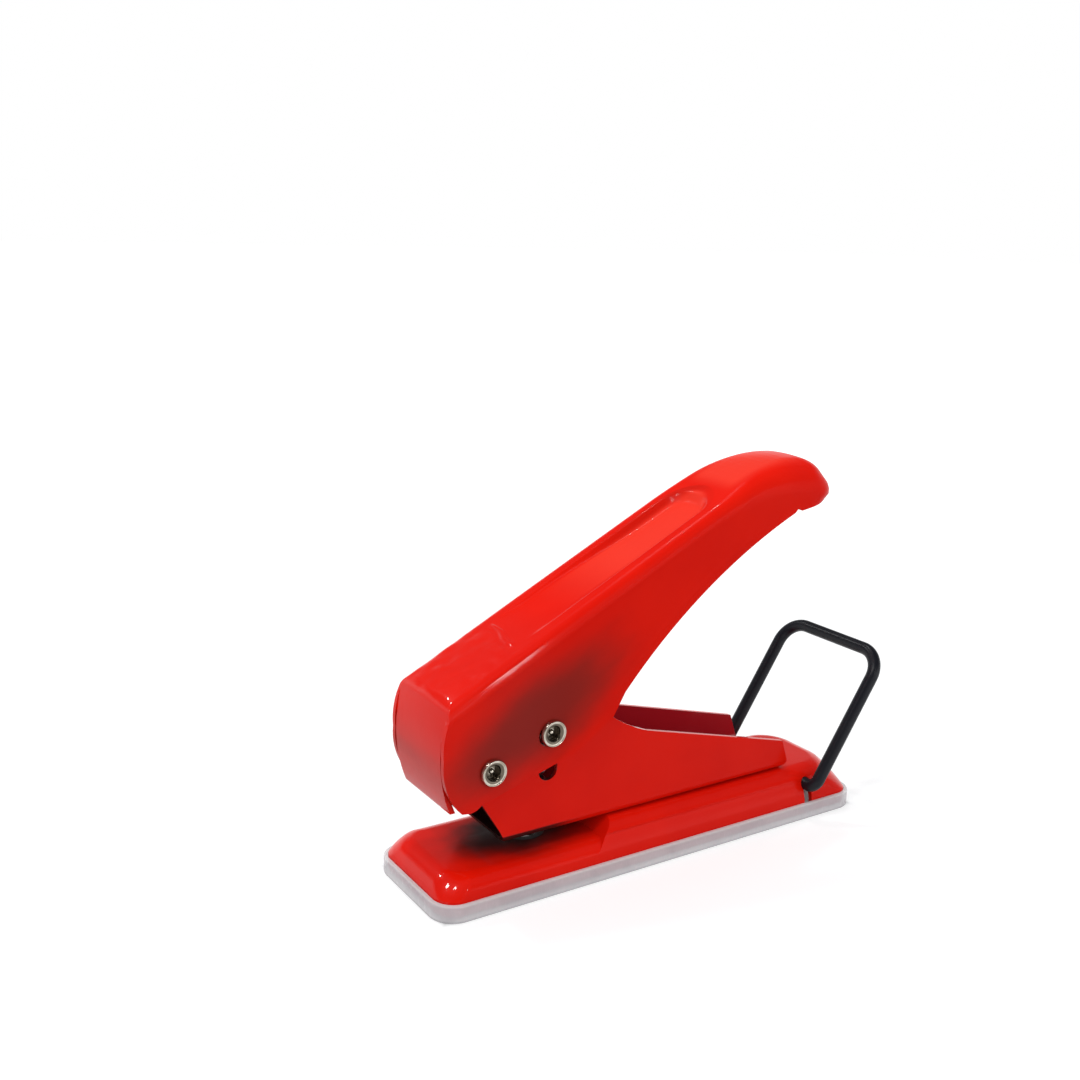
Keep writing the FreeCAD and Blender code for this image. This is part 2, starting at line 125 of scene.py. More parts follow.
# Cuts through the lever's mesh where it has to bend: axis, first place, last place and step
lever_cuts = (
    ("x", 16.0, 43.0, 1.0),
    ("x", 4.0, 15.6, 0.5),
    ("x", -49.0, -36.5, 0.6),
    ("x", -36.2, -29.8, 0.3),
    ("x", -29.0, 3.0, 1.5),
    ("y", -9.0, 9.0, 0.5),
    ("z", 61.0, 77.0, 1.0),
)

# Base sizes in millimetres, and how far its slopes curve outwards
base_half_length = 51.6
base_half_width = 13.1
base_corner = 8.0
slope_foot = 3.8
front_deck = 7.5
rear_deck = 10.4
stop_foot = -15.2
slope_belly = 0.38
base_cuts = ("z", 3.9, 9.9, 0.5)

# Spring sizes in millimetres; the ends lie closer than the middle by a share
spring_foot = 13.4
spring_head = 27.8
spring_radius = 4.35
spring_wire = 0.8
spring_gap = 0.05
spring_turns = 5.5
spring_end_share = 0.45
wire_sides = 14
steps_per_quarter = 10

# How every CAD mesh is joined, made whole, cut and broken at its edges; distances in metres
merge_distance = 1e-6
cut_distance = 1e-7
flat_deg = 0.3
edge_segments = 2

# Finishes
red = (0.80, 0.0085, 0.0014)
red_deep = (0.74, 0.0065, 0.0010)
# Painted shade inside the frame's channel
painted_inside_shade = (0.40, 0.010, 0.017)
# Painted shade behind the frame's slot and jaw and on the paper table under the frame
painted_deep_shade = (0.016, 0.008, 0.007)
# Painted shade on the lever's sides round its rivets, painted light on its panel floor and crest, and
# painted shade on the step round the panel
painted_shade_red = (0.18, 0.017, 0.012)
painted_light_red = (0.90, 0.048, 0.026)
painted_step_shade = (0.50, 0.008, 0.002)
nickel_bright = (0.62, 0.58, 0.50)
nickel_dull = (0.40, 0.36, 0.29)
# Painted shade and dark reflection in the rivets' near wells
painted_well_shade = (0.13, 0.11, 0.085)
lacquer = (0.006, 0.0065, 0.0115)
lacquer_thin = (0.010, 0.0105, 0.014)
milk_clear = (0.86, 0.80, 0.82)
milk_cloud = (0.76, 0.70, 0.73)
# Painted highlight along the tray's rim
painted_rim_highlight = (0.86, 0.83, 0.83)
tray_foot = (0.42, 0.41, 0.43)

# Enamel's clear film: its weight on bends and decks and on flat walls, the share of it that is left
# on faces to the front and where hands rub, and how softly it changes
film_weight = 0.60
film_on_walls = 0.08
film_on_front = 0.35
film_when_rubbed = 0.12
wall_blend = 0.085
front_facing = (0.87, 0.95)
rub_blend = 12.0

# Places on the paint in millimetres: inner and outer face of the frame's walls, then the lever's
# panel floor and crest where light is painted, and the step round the panel where shade is painted
frame_inside = (8.05, 8.30)
frame_outside = (8.88, 8.98)
floor_arc_x = 9.0
floor_edge = (4.2, 5.6)
floor_starts = (-24.0, -4.0)
crest_starts = (15.0, 19.0)
crest_ends = (27.0, 40.0)
crest_edge = (4.5, 7.5)
painted_light_share = 0.75
step_starts = (4.3, 5.4)
step_ends = (6.3, 6.9)
step_along = (-16.0, 6.0)
step_across = (-3.5, 3.0)

# Places on the rivets and the tray in millimetres
rivet_rim = (1.95, 2.15)
rivet_nub = (0.45, 0.80)
rivet_near_end = (-8.0, -5.0)
rim_height = (2.9, 3.4)
foot_height = (0.15, 0.75)

# Ways to the small bright lamps whose reflections show on the enamel
lamp_distance = 0.90
lamp_target = Vector((0, 0, 0.035))
ceiling_ways = (
    (-0.33, 0.62, 0.71),
    (0.06, 0.36, 0.93),
    (-0.60, 0.03, 0.80),
    (-0.44, -0.26, 0.86),
)
window_ways = (
    (0.05, -0.88, 0.47),
    (-0.03, -0.78, 0.625),
)


# Shader building

def feed(tree, value, socket):
    """Sets a socket to a number or a colour, or links another socket to it."""
    if isinstance(value, (int, float)):
        socket.default_value = value
    elif isinstance(value, tuple):
        socket.default_value = (*value, 1)
    else:
        tree.links.new(value, socket)


def set_sockets(node, **values):
    """Sets a node's inputs by name; an underscore stands for a space."""
    for name, value in values.items():
        node.inputs[name.replace("_", " ")].default_value = value


def new_material(name):
    """Empty node material with a Principled shader and its output."""
    material = bpy.data.materials.new(name)
    material.use_nodes = True
    tree = material.node_tree
    tree.nodes.clear()
    output = tree.nodes.new("ShaderNodeOutputMaterial")
    shader = tree.nodes.new("ShaderNodeBsdfPrincipled")
    tree.links.new(shader.outputs["BSDF"], output.inputs["Surface"])
    return material, tree, shader


def new_group(name, inputs, outputs):
    """Shader node group that takes a point and named values, and gives named masks."""
    group = bpy.data.node_groups.new(name, "ShaderNodeTree")
    group.interface.new_socket("Point", in_out="INPUT", socket_type="NodeSocketVector")
    for socket, value in inputs:
        item = group.interface.new_socket(socket, in_out="INPUT", socket_type="NodeSocketFloat")
        item.default_value = value
    for socket in outputs:
        group.interface.new_socket(socket, in_out="OUTPUT", socket_type="NodeSocketFloat")
    start = group.nodes.new("NodeGroupInput")
    end = group.nodes.new("NodeGroupOutput")
    return group, start.outputs, end.inputs


def place_group(tree, group, point, **values):
    """Puts a shared effect into a material, at a point and with its own values."""
    node = tree.nodes.new("ShaderNodeGroup")
    node.node_tree = group
    tree.links.new(point, node.inputs["Point"])
    set_sockets(node, **values)
    return node.outputs


def object_point(tree, centre=(0, 0, 0), turn=(0, 0, 0), stretch=(1, 1, 1)):
    """Object coordinates centred, turned or stretched for a pattern; the centre is in millimetres."""
    coordinates = tree.nodes.new("ShaderNodeTexCoord")
    mapping = tree.nodes.new("ShaderNodeMapping")
    mapping.vector_type = "TEXTURE"
    set_sockets(mapping, Location=Vector(centre) * MM, Rotation=turn, Scale=stretch)
    tree.links.new(coordinates.outputs["Object"], mapping.inputs["Vector"])
    return mapping.outputs["Vector"]


def noise_at(tree, point, scale, detail, roughness=0.5, distortion=0.0):
    """Soft noise at a point; the scale is a number or a socket."""
    node = tree.nodes.new("ShaderNodeTexNoise")
    tree.links.new(point, node.inputs["Vector"])
    feed(tree, scale, node.inputs["Scale"])
    set_sockets(node, Detail=detail, Roughness=roughness, Distortion=distortion)
    return node.outputs["Fac"]


def arithmetic(tree, operation, *values):
    """Math node; each value is a socket or a number."""
    node = tree.nodes.new("ShaderNodeMath")
    node.operation = operation
    for value, socket in zip(values, node.inputs):
        feed(tree, value, socket)
    return node.outputs[0]


def product(tree, first, *others):
    """Product of two or more masks or values."""
    for other in others:
        first = arithmetic(tree, "MULTIPLY", first, other)
    return first


def size_of(tree, value):
    """A value without its sign."""
    return arithmetic(tree, "ABSOLUTE", value)


def distance_of(tree, across, along):
    """Distance made up of two lengths at a right angle."""
    squares = arithmetic(tree, "ADD", product(tree, across, across), product(tree, along, along))
    return arithmetic(tree, "SQRT", squares)


def length_of(tree, vector):
    """Length of a vector."""
    node = tree.nodes.new("ShaderNodeVectorMath")
    node.operation = "LENGTH"
    tree.links.new(vector, node.inputs[0])
    return node.outputs["Value"]


def parts_of(tree, vector):
    """The X, Y and Z sockets of a vector."""
    node = tree.nodes.new("ShaderNodeSeparateXYZ")
    tree.links.new(vector, node.inputs[0])
    return node.outputs


def spread(tree, value, low, high, to_low=0.0, to_high=1.0):
    """Smooth map from one range of values to another."""
    node = tree.nodes.new("ShaderNodeMapRange")
    node.interpolation_type = "SMOOTHSTEP"
    tree.links.new(value, node.inputs["Value"])
    set_sockets(node, From_Min=low, From_Max=high, To_Min=to_low, To_Max=to_high)
    return node.outputs["Result"]


def ramp(tree, place, low, high, to_low=0.0, to_high=1.0):
    """Smooth change along a distance; low and high are in millimetres."""
    return spread(tree, place, low * MM, high * MM, to_low, to_high)


def fall(tree, place, low, high):
    """Smooth change from 1 to 0 along a distance; low and high are in millimetres."""
    return ramp(tree, place, low, high, to_low=1.0, to_high=0.0)


def colour_mix(tree, amount, first, second):
    """Mix of two colours; each is a socket or an RGB triple."""
    node = tree.nodes.new("ShaderNodeMix")
    node.data_type = "RGBA"
    tree.links.new(amount, node.inputs[0])
    feed(tree, first, node.inputs[6])
    feed(tree, second, node.inputs[7])
    return node.outputs[2]


def bump(tree, height, strength, distance, below=None):
    """Normal from a height; the distance is in millimetres."""
    node = tree.nodes.new("ShaderNodeBump")
    set_sockets(node, Strength=strength, Distance=distance * MM)
    tree.links.new(height, node.inputs["Height"])
    if below is not None:
        tree.links.new(below, node.inputs["Normal"])
    return node.outputs["Normal"]


def roughen(tree, shader, mask, least, extra):
    """Roughness that grows with a mask."""
    tree.links.new(arithmetic(tree, "MULTIPLY_ADD", mask, extra, least), shader.inputs["Roughness"])


# Shared effects

def paint_flow_group():
    """Sprayed and baked enamel: fine orange peel, slow waves, thinner and thicker film, faint rubs."""
    group, given, gives = new_group(
        "paint_flow", (("Peel Size", 700.0), ("Wave Size", 160.0), ("Wave Share", 0.5)),
        ("Height", "Film", "Rub"))
    point = given["Point"]
    blend = group.nodes.new("ShaderNodeMix")
    group.links.new(given["Wave Share"], blend.inputs[0])
    group.links.new(noise_at(group, point, given["Peel Size"], detail=2.0), blend.inputs[2])
    group.links.new(noise_at(group, point, given["Wave Size"], detail=1.0), blend.inputs[3])
    film = noise_at(group, point, scale=55.0, detail=3.0)
    rub = noise_at(group, point, scale=240.0, detail=4.0, roughness=0.65, distortion=0.6)
    group.links.new(blend.outputs[0], gives["Height"])
    group.links.new(spread(group, film, 0.3, 0.7), gives["Film"])
    group.links.new(spread(group, rub, 0.52, 0.78), gives["Rub"])
    return group


def turned_metal_group():
    """Tool marks round the Y axis of the given point, fine scratches and a dull cloud."""
    group, given, gives = new_group(
        "turned_metal", (("Ring Size", 9000.0), ("Cloud Size", 500.0)), ("Height", "Cloud", "Scratch"))
    point = given["Point"]
    sides = parts_of(group, point)
    away = distance_of(group, sides["X"], sides["Z"])
    rings = arithmetic(group, "SINE", product(group, away, given["Ring Size"]))
    cloud = noise_at(group, point, given["Cloud Size"], detail=4.0)
    scratch = noise_at(group, point, scale=2600.0, detail=3.0, roughness=0.6)
    group.links.new(rings, gives["Height"])
    group.links.new(spread(group, cloud, 0.35, 0.7), gives["Cloud"])
    group.links.new(spread(group, scratch, 0.55, 0.75), gives["Scratch"])
    return group


def painted_shade_group():
    """Soft ragged mask of painted shade round a point, broken by noise."""
    group, given, gives = new_group("painted_shade_film", (("Reach", 0.02),), ("Mask",))
    point = given["Point"]
    share = arithmetic(group, "DIVIDE", length_of(group, point), given["Reach"])
    smear = arithmetic(group, "SUBTRACT", noise_at(group, point, scale=90.0, detail=3.0), 0.5)
    ragged = arithmetic(group, "ADD", share, product(group, smear, 0.5))
    group.links.new(spread(group, ragged, 0.1, 1.0, to_low=1.0, to_high=0.0), gives["Mask"])
    return group


paint_flow = paint_flow_group()
turned_metal = turned_metal_group()
painted_shade_film = painted_shade_group()


# Materials

def enamel(name, flat_from=0.90, dull_from=60.0):
    """Red baked enamel on steel sheet, with a clear film that is thin on walls and on the front.

    A face is a wall where it turns to the side by more than flat_from. Behind dull_from, in
    millimetres along the part, hands have rubbed the film.
    """
    material, tree, shader = new_material(name)
    point = object_point(tree)
    flow = place_group(tree, paint_flow, point)
    roughen(tree, shader, flow["Rub"], least=0.30, extra=0.06)
    tree.links.new(bump(tree, flow["Height"], strength=0.10, distance=0.35), shader.inputs["Normal"])
    facing = parts_of(tree, tree.nodes.new("ShaderNodeTexCoord").outputs["Normal"])
    walls = spread(tree, size_of(tree, facing["Y"]), flat_from, flat_from + wall_blend,
                   to_low=film_weight, to_high=film_on_walls)
    front = spread(tree, size_of(tree, facing["X"]), *front_facing, to_low=1.0, to_high=film_on_front)
    rubbed = ramp(tree, parts_of(tree, point)["X"], dull_from, dull_from + rub_blend,
                  to_low=1.0, to_high=film_when_rubbed)
    tree.links.new(product(tree, walls, rubbed, front), shader.inputs["Coat Weight"])
    set_sockets(shader, IOR=1.5, Specular_IOR_Level=0.05, Coat_Roughness=0.05, Coat_IOR=1.45)
    return material, tree, shader, colour_mix(tree, flow["Film"], red, red_deep)


def lay_painted_shade(tree, shade, colour, amount, reach, full_at=1.0, **place):
    """Lays soft ragged painted shade over a colour; it is as dark as it gets where its mask reaches
    full_at.
    """
    film = place_group(tree, painted_shade_film, object_point(tree, **place), Reach=reach)
    return colour_mix(tree, spread(tree, film["Mask"], 0.0, full_at, to_high=amount), shade, colour)


def frame_enamel():
    """Frame's enamel, with painted shade inside the channel and behind the slot and the jaw."""
    material, tree, shader, shade = enamel("frame_enamel")
    side = size_of(tree, parts_of(tree, object_point(tree))["Y"])
    # Painted shade inside the channel
    inside_shaded = colour_mix(tree, fall(tree, side, *frame_inside), shade, painted_inside_shade)
    # Painted shade behind the slot and in the jaw
    shaded = lay_painted_shade(tree, inside_shaded, painted_deep_shade, amount=0.97, reach=0.0130, full_at=0.5,
                centre=(-33.0, 0.0, 16.5), stretch=(1.5, 2.2, 1.15))
    behind = fall(tree, side, *frame_outside)
    tree.links.new(colour_mix(tree, behind, inside_shaded, shaded), shader.inputs["Base Color"])
    return material


def base_enamel():
    """Base's enamel, with painted shade on the paper table under the frame."""
    material, tree, shader, shade = enamel("base_enamel", flat_from=0.70)
    # Painted shade on the paper table under the frame's front, round the die
    shaded = lay_painted_shade(tree, shade, painted_deep_shade, amount=0.95, reach=0.0185, full_at=0.85,
                centre=(-28.0, 0.5, 7.6), stretch=(1.28, 0.76, 0.40))
    tree.links.new(shaded, shader.inputs["Base Color"])
    return material


def lever_enamel():
    """Lever's enamel: painted shade round its two rivets and on the step round the sunk panel, and
    painted light on the panel's floor and crest.
    """
    material, tree, shader, shade = enamel("lever_enamel", dull_from=-35.0)
    sides = parts_of(tree, object_point(tree))
    x, y = sides["X"], sides["Y"]
    past_arc = arithmetic(tree, "MAXIMUM", arithmetic(tree, "SUBTRACT", x, floor_arc_x * MM), 0.0)
    away = distance_of(tree, y, past_arc)
    floor = product(tree, fall(tree, away, *floor_edge), ramp(tree, x, *floor_starts))
    crest = product(tree, ramp(tree, x, *crest_starts), fall(tree, x, *crest_ends),
                    fall(tree, size_of(tree, y), *crest_edge))
    lit_patch = product(tree, arithmetic(tree, "MAXIMUM", floor, crest), painted_light_share)
    step = product(tree, ramp(tree, away, *step_starts), fall(tree, away, *step_ends),
                   ramp(tree, x, *step_along, to_high=0.55), ramp(tree, y, *step_across, to_low=0.2))
    # Painted light on the panel floor and crest, and painted shade on the step round the panel
    lit_and_shaded = colour_mix(tree, step, colour_mix(tree, lit_patch, shade, painted_light_red), painted_step_shade)
    # Painted shade on the lever's sides round its two rivets
    shaded = lay_painted_shade(tree, lit_and_shaded, painted_shade_red, amount=0.84, reach=0.0190, centre=(-30.2, 0.0, 35.0),
                turn=(0, math.radians(-31), 0), stretch=(1.85, 10.0, 0.72))
    tree.links.new(shaded, shader.inputs["Base Color"])
    return material


def nickel(name, centre):
    """Plated rivet: warm grey nickel with turned rings and dull clouds, and painted shade and dark
    reflection in its near well.
    """
    material, tree, shader = new_material(name)
    point = object_point(tree, centre=centre)
    marks = place_group(tree, turned_metal, point)
    sides = parts_of(tree, point)
    away = distance_of(tree, sides["X"], sides["Z"])
    raised = arithmetic(tree, "MAXIMUM", ramp(tree, away, *rivet_rim), fall(tree, away, *rivet_nub))
    unshaded = arithmetic(tree, "MAXIMUM", raised, ramp(tree, sides["Y"], *rivet_near_end))
    metal = colour_mix(tree, marks["Cloud"], nickel_bright, nickel_dull)
    # Painted shade and dark reflection in the near well between rim and nub
    tree.links.new(colour_mix(tree, unshaded, painted_well_shade, metal), shader.inputs["Base Color"])
    roughen(tree, shader, marks["Cloud"], least=0.14, extra=0.12)
    rings = bump(tree, marks["Height"], strength=0.12, distance=0.01)
    scratched = bump(tree, marks["Scratch"], strength=0.15, distance=0.03, below=rings)
    tree.links.new(scratched, shader.inputs["Normal"])
    set_sockets(shader, Metallic=1.0)
    return material


def ground_steel(name, bright, dull, roughness):
    """Turned or ground tool steel with a thin oily cloud."""
    material, tree, shader = new_material(name)
    point = object_point(tree, centre=(driver[0], 0, 0), turn=(math.radians(90), 0, 0))
    marks = place_group(tree, turned_metal, point, Ring_Size=14000.0, Cloud_Size=300.0)
    tree.links.new(colour_mix(tree, marks["Cloud"], bright, dull), shader.inputs["Base Color"])
    roughen(tree, shader, marks["Cloud"], least=roughness, extra=0.15)
    tree.links.new(bump(tree, marks["Height"], strength=0.15, distance=0.01), shader.inputs["Normal"])
    set_sockets(shader, Metallic=1.0)
    return material


def wire_paint():
    """Black satin lacquer on drawn wire, a little blue in its sheen, with fine waves."""
    material, tree, shader = new_material("black_wire")
    flow = place_group(tree, paint_flow, object_point(tree),
                       Peel_Size=1400.0, Wave_Size=420.0, Wave_Share=0.4)
    tree.links.new(colour_mix(tree, flow["Film"], lacquer, lacquer_thin), shader.inputs["Base Color"])
    roughen(tree, shader, flow["Rub"], least=0.34, extra=0.14)
    tree.links.new(bump(tree, flow["Height"], strength=0.15, distance=0.12), shader.inputs["Normal"])
    set_sockets(shader, Specular_IOR_Level=0.2)
    return material


def tray_plastic():
    """Milky, slightly see-through moulded plastic, with flow clouds, fine scuffs and a painted highlight
    along its rim.
    """
    material, tree, shader = new_material("tray_plastic")
    point = object_point(tree)
    flow = noise_at(tree, point, scale=130.0, detail=3.0, roughness=0.55, distortion=0.8)
    cloud = spread(tree, flow, 0.3, 0.7)
    height = parts_of(tree, point)["Z"]
    rim = ramp(tree, height, *rim_height)
    foot = ramp(tree, height, *foot_height, to_low=0.75, to_high=0.0)
    # Painted highlight along the rim
    rimmed = colour_mix(tree, rim, colour_mix(tree, cloud, milk_clear, milk_cloud), painted_rim_highlight)
    tree.links.new(colour_mix(tree, foot, rimmed, tray_foot), shader.inputs["Base Color"])
    drawn = object_point(tree, stretch=(0.25, 1, 1))
    scuff = spread(tree, noise_at(tree, drawn, scale=900.0, detail=4.0, roughness=0.6), 0.5, 0.75)
    roughen(tree, shader, scuff, least=0.26, extra=0.06)
    set_sockets(shader, Alpha=0.56, IOR=1.46, Specular_IOR_Level=0.35)
    return material


lever_paint = lever_enamel()
frame_paint = frame_enamel()
base_paint = base_enamel()
pivot_nickel = nickel("pivot_nickel", (pivot[0], 0, pivot[1]))
driver_nickel = nickel("driver_nickel", (driver[0], 0, driver[1]))
rivet_steel = ground_steel("rivet_steel", (0.56, 0.55, 0.53), (0.38, 0.37, 0.36), 0.3)
tool_steel = ground_steel("tool_steel", (0.24, 0.24, 0.25), (0.13, 0.13, 0.14), 0.22)
# Painted shade: the die's steel is nearly black because it sits in the gap under the frame
shaded_die_steel = ground_steel("shaded_die_steel", (0.060, 0.058, 0.054), (0.030, 0.030, 0.028), 0.34)
washer_steel = ground_steel("washer_steel", (0.58, 0.56, 0.52), (0.42, 0.40, 0.37), 0.26)
spring_steel = ground_steel("spring_steel", (0.30, 0.30, 0.31), (0.18, 0.18, 0.19), 0.28)
black_wire = wire_paint()
plastic = tray_plastic()


# Shapes

def smooth_step(low, high, value):
    """0 below low, 1 above high, and a smooth change between them."""
    share = min(max((value - low) / (high - low), 0.0), 1.0)
    return share * share * (3 - 2 * share)


def merged_copy(name):
    """Copy of a CAD node with its triangles joined and its flat faces whole again."""
    bm = bmesh.new()
    bm.from_mesh(nodes[name].data)
    bmesh.ops.remove_doubles(bm, verts=bm.verts, dist=merge_distance)
    bmesh.ops.dissolve_limit(bm, angle_limit=math.radians(flat_deg), verts=bm.verts, edges=bm.edges)
    return bm


def slice_mesh(bm, axis, first, last, step):
    """Cuts the mesh across an axis at even steps, so that its faces can bend there."""
    normal = Vector([1.0 if letter == axis else 0.0 for letter in "xyz"])
    place = first
    while place <= last:
        everything = bm.verts[:] + bm.edges[:] + bm.faces[:]
        bmesh.ops.bisect_plane(bm, geom=everything, dist=cut_distance,
                               plane_co=normal * place * MM, plane_no=normal)
        place += step


def settle(bm, name, body, material, stands_for, edge=0.0, keep_deg=35.0):
    """Makes a piece of a finished mesh: its edge breaks, shading, finish and body, and hides the CAD
    node it stands for.
    """
    mesh = bpy.data.meshes.new(name)
    bm.to_mesh(mesh)
    bm.free()
    for polygon in mesh.polygons:
        polygon.use_smooth = True
    piece = bpy.data.objects.new(name, mesh)
    scene.collection.objects.link(piece)
    if edge > 0:
        modifier = piece.modifiers.new("edge_break", "BEVEL")
        modifier.width = edge * MM
        modifier.segments = edge_segments
        modifier.limit_method = "ANGLE"
        modifier.angle_limit = math.radians(keep_deg)
        modifier.miter_outer = "MITER_ARC"
    else:
        mesh.set_sharp_from_angle(angle=math.radians(keep_deg))
    shading = piece.modifiers.new("even_shading", "WEIGHTED_NORMAL")
    shading.mode = "FACE_AREA"
    shading.weight = 50
    shading.keep_sharp = True
    for finished in (mesh, nodes[stands_for].data):
        finished.materials.clear()
        finished.materials.append(material)
    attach(piece, body)
    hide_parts(stands_for)
    return piece


# Lever

def way_in(across, up):
    """Distance from an arc's centre, and the inward direction there, in the side view."""
    away = max(math.hypot(across, up), nearly_zero)
    return away, Vector((-across / away, 0, -up / away))


def roof_depth(x, z):
    """Depth under the lever's roof line, the inward direction, and the angle along the crest or tip."""
    across, up = x - crest_centre[0], z - crest_centre[1]
    angle = math.degrees(math.atan2(across, up))
    if angle < -roof_deg:
        tilt = math.radians(roof_deg)
        inward = Vector((math.sin(tilt), 0, -math.cos(tilt)))
        return crest_radius + across * inward.x + up * inward.z, inward, angle
    if angle < tip_start_deg:
        away, inward = way_in(across, up)
        return crest_radius - away, inward, angle
    across, up = x - tip_centre[0], z - tip_centre[1]
    away, inward = way_in(across, up)
    return tip_radius - away, inward, math.degrees(math.atan2(across, up))


def plan_depth(x, y):
    """Depth inside the lever's plan outline and the inward direction there."""
    side = math.copysign(1.0, y)
    ahead = x - plan_centre[0]
    beside = abs(y) - plan_centre[1]
    if ahead > 0 and beside > 0:
        away = max(math.hypot(ahead, beside), nearly_zero)
        return plan_corner - away, Vector((-ahead / away, -side * beside / away, 0))
    if ahead > beside:
        return handle_reach - x, Vector((-1, 0, 0))
    return lever_half - abs(y), Vector((0, -side, 0))


def widen_bend(point, radius):
    """Rounds the bend between roof and wall to a larger radius, at the same depth in the sheet."""
    roof, roof_in = roof_depth(point.x, point.z)[:2]
    wall, wall_in = plan_depth(point.x, point.y)
    lean = roof_in.dot(wall_in)
    square = 1 - lean * lean
    if square < parallel_limit:
        return point

    def spoke(size):
        """Direction and length from a bend's centre to the point, where the bend covers it."""
        a, b = size - roof, size - wall
        if a <= 0 or b <= 0 or a - b * lean <= 0 or b - a * lean <= 0:
            return None, 0.0
        way = (roof_in * (a - b * lean) + wall_in * (b - a * lean)) / square
        return way, way.length

    way, length = spoke(lever_bend)
    depth = lever_bend - length if way else min(roof, wall)
    way, length = spoke(radius)
    if way is None or length < nearly_zero:
        return point
    return point + way * (length - (radius - depth)) / length


def square_off(point):
    """Draws the two corners of the handle's end outwards, from an arc to a squarer curve."""
    ahead = point.x - plan_centre[0]
    beside = abs(point.y) - plan_centre[1]
    if min(ahead, beside) <= square_starts[0]:
        return point
    turn = math.atan2(beside, ahead)
    reach = (math.cos(turn) ** square_corner + math.sin(turn) ** square_corner) ** (-1 / square_corner)
    share = smooth_step(*square_rises, point.z) * (1 - smooth_step(*square_ends, point.z))
    share *= smooth_step(*square_starts, ahead)
    growth = plan_corner * (reach - 1) * share
    side = math.copysign(1.0, point.y)
    return point + Vector((math.cos(turn) * growth, side * math.sin(turn) * growth, 0))


def handle_form(point):
    """Where a point of the straight-folded lever lies on the pressed, domed one; millimetres."""
    growth = smooth_step(*bend_widens, point.x)
    if growth > 0:
        point = widen_bend(point, lever_bend + (handle_bend - lever_bend) * growth)
    roof, roof_in, angle = roof_depth(point.x, point.z)
    point = square_off(point)
    crown = handle_crown * smooth_step(*crown_rises, point.x) * (1 - smooth_step(*crown_ends_deg, angle))
    crown += nose_crown * (1 - smooth_step(*nose_crown_ends, point.x))
    crown *= (1 - (point.y / crown_half) ** 2) * (1 - smooth_step(*crown_skin, roof))
    point = point - roof_in * crown
    out = Vector((point.x - pivot[0], 0, point.z - pivot[1]))
    if out.length > swing_limit:
        point = point - out * (1 - swing_limit / out.length)
    return point


def nose_ripple(point):
    """Slight waves of the pressed roof in front of the sunk panel."""
    share = 1 - smooth_step(*ripple_ends, point.x)
    share *= smooth_step(*ripple_foot, point.z) * (1 - smooth_step(*ripple_side, abs(point.y)))
    coarse = noise.noise(point * ripples_per_mm)
    fine = fine_ripple_share * noise.noise(point * fine_ripples_per_mm)
    return ripple_height * share * (coarse + fine)


def panel_inset(x, y):
    """How far a point lies inside the sunk panel's outline, seen square to the roof."""
    lift = math.cos(math.radians(roof_deg))
    at_rear = x > (panel_front + panel_rear) / 2
    corner = panel_rear_corner if at_rear else panel_front_corner
    end_way = (x - panel_rear) / lift if at_rear else (panel_front - x) / lift
    ahead = end_way + corner
    beside = abs(y) - panel_half + corner
    if ahead > 0 and beside > 0:
        return corner - math.hypot(ahead, beside)
    return corner - max(ahead, beside)


def crease(point):
    """Height of the slanted crease across the roof, and of the dip ahead of it."""
    line = panel_front - crease_shift + crease_shift * math.tanh(point.y / crease_slant)
    away = (point.x - line) / crease_width
    fade = 1 - smooth_step(*crease_side, abs(point.y))
    dip = crease_dip * math.exp(-(away + crease_dip_ahead) ** 2)
    return crease_height * fade * (math.exp(-away * away) - dip)


def panel_form(point):
    """Lets the sunk panel run out in front and deepen to a broad step at its rear, behind a crease."""
    roof, roof_in = roof_depth(point.x, point.z)[:2]
    along = panel_zone_front < point.x < panel_zone_rear
    if not along or abs(point.y) >= panel_zone_half or roof >= panel_zone_depth:
        return point
    sunk = roof if roof < outer_skin else roof - sheet
    depth = panel_front_depth * smooth_step(*panel_sinks, point.x)
    depth += (panel_rear_depth - panel_front_depth) * smooth_step(*panel_deepens, point.x)
    wall = panel_wall[0] + (panel_wall[1] - panel_wall[0]) * smooth_step(*panel_wall_widens, point.x)
    depth *= smooth_step(0.0, wall, panel_inset(point.x, point.y))
    depth -= crease(point)
    return point + roof_in * (depth - max(sunk, 0.0))


def press_lever():
    """Lever with its domed handle, sunk panel, crease and waves."""
    bm = merged_copy("lever")
    for cut in lever_cuts:
        slice_mesh(bm, *cut)
    for vertex in bm.verts:
        point = handle_form(panel_form(vertex.co / MM))
        point.z += nose_ripple(point)
        vertex.co = point * MM
    settle(bm, "pressed_lever", "lever", lever_paint, "lever", edge=0.16, keep_deg=40.0)


# Base

def belly(point):
    """Curves the base's slopes outwards a little between their foot and the deck."""
    rise = smooth_step(stop_foot, stop_foot + rear_deck - front_deck, point.x)
    deck = front_deck + (rear_deck - front_deck) * rise
    share = (point.z - slope_foot) / (deck - slope_foot)
    ahead = abs(point.x) - (base_half_length - base_corner)
    beside = abs(point.y) - (base_half_width - base_corner)
    if not 0 < share < 1 or max(ahead, beside) <= 0:
        return point
    way = Vector((math.copysign(max(ahead, 0.0), point.x), math.copysign(max(beside, 0.0), point.y), 0))
    return point + way.normalized() * slope_belly * 4 * share * (1 - share)


def draw_base():
    """Base with its slopes curved as a press draws them."""
    bm = merged_copy("base_shell")
    slice_mesh(bm, *base_cuts)
    for vertex in bm.verts:
        vertex.co = belly(vertex.co / MM) * MM
    settle(bm, "drawn_base", "base", base_paint, "base_shell", edge=0.12, keep_deg=40.0)


# Other pieces

def dress(name, new_name, body, material, edge, keep_deg=35.0):
    """Dressed copy of a CAD node that keeps its form."""
    settle(merged_copy(name), new_name, body, material, name, edge=edge, keep_deg=keep_deg)


